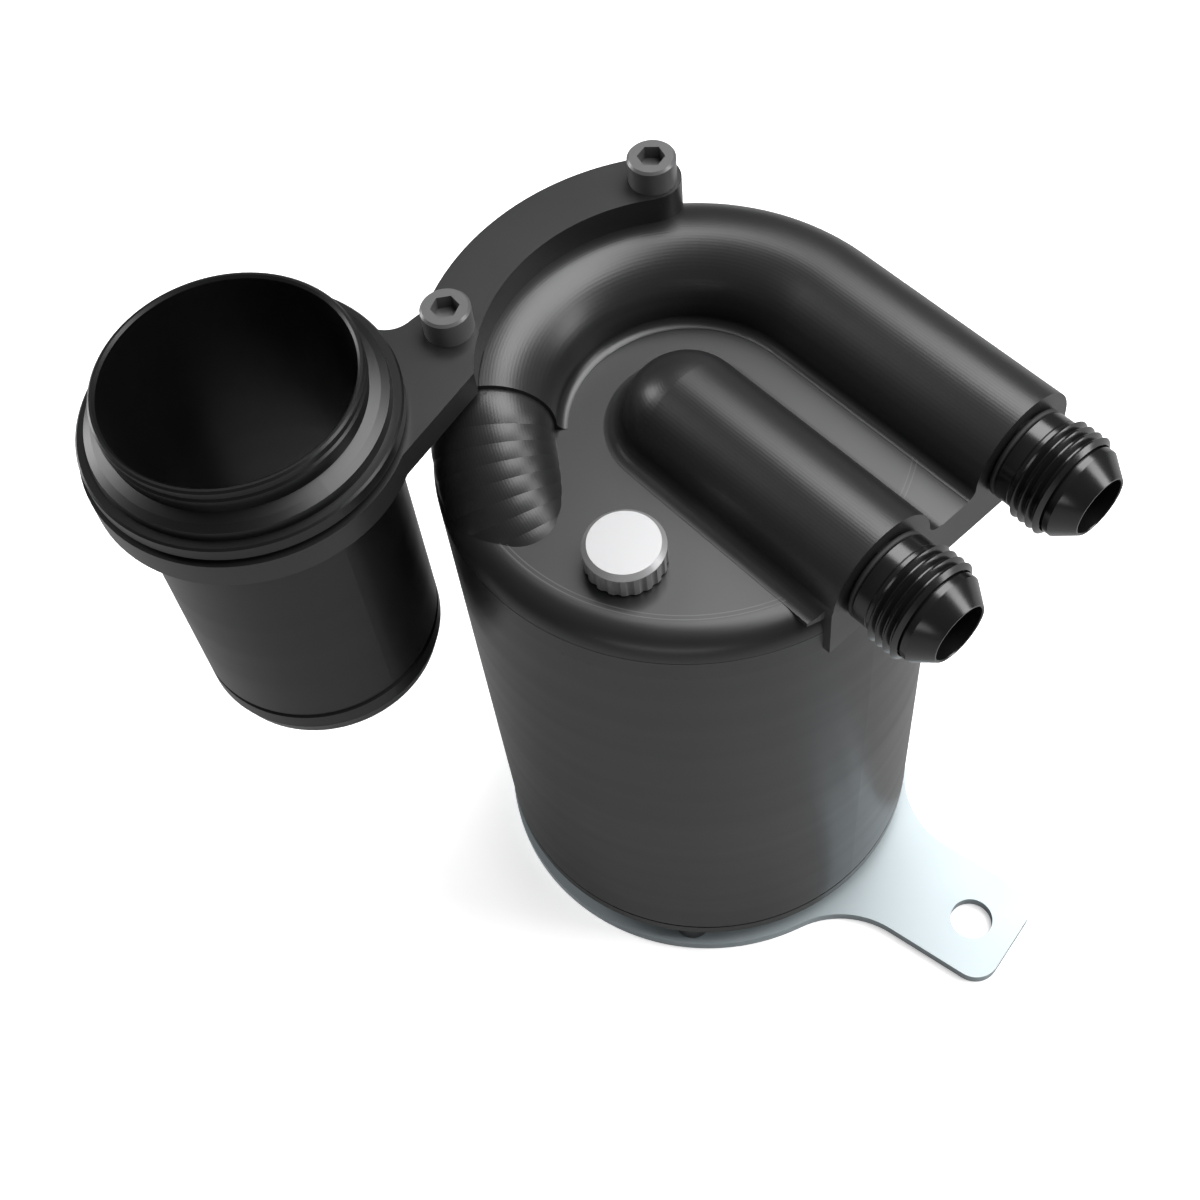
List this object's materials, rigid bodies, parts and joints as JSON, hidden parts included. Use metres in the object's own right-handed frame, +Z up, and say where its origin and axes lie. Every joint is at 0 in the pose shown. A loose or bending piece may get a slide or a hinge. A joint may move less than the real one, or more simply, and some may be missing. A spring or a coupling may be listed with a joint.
{
  "type": "oil catch can",
  "caption": "Black billet oil catch can with a milled ducted lid, two flare fittings, a dipstick, a plated foot bracket and a side plate that carries an air pipe.",
  "frame": {"origin": "centre of the can at the underside of the foot bracket", "axes": "+X along the two fittings, out of their mouths; +Z up along the can"},
  "size_m": [0.1707, 0.1537, 0.1885],
  "materials": {
    "zinc_plate": "bright zinc plating",
    "bright_steel": "plain steel",
    "wire_mesh": "knitted wire",
    "dark_steel": "black oxide",
    "bright_aluminium": "turned, bright",
    "seal_rubber": "matt",
    "fitting_black": "satin black anodised",
    "can_black": "satin black anodised, turned",
    "milled_black": "satin black anodised, milled",
    "pipe_black": "satin black anodised"
  },
  "bodies": {
    "can": {"bracket": "zinc_plate", "bracket_screws": "bright_steel", "base_cap": "can_black", "base_seal": "seal_rubber", "can_body": "can_black", "lower_screen": "bright_steel", "mesh_pad": "wire_mesh", "upper_screen": "bright_steel", "screen_ring": "bright_steel", "drop_tube": "bright_steel", "lid": "milled_black", "lid_seal": "seal_rubber", "near_fitting": "fitting_black", "near_seal": "seal_rubber", "far_fitting": "fitting_black", "far_seal": "seal_rubber", "side_plate": "milled_black", "plate_screws": "dark_steel", "air_pipe": "pipe_black", "pipe_seal": "seal_rubber", "pipe_ring": "bright_steel"},
    "stick": {"dipstick_rod": "bright_steel", "dipstick_seal": "seal_rubber"},
    "knob": {"dipstick_knob": "bright_aluminium"}
  },
  "joints": [
    {"name": "dipstick_lift", "type": "slide", "parent": "can", "child": "stick", "axis": [0, 0, 1], "range_m": [0, 0.15]},
    {"name": "dipstick_turn", "type": "hinge", "parent": "stick", "child": "knob", "pos_m": [0.0153, -0.0311, 0.1526], "axis": [0, 0, 1], "continuous": true}
  ]
}
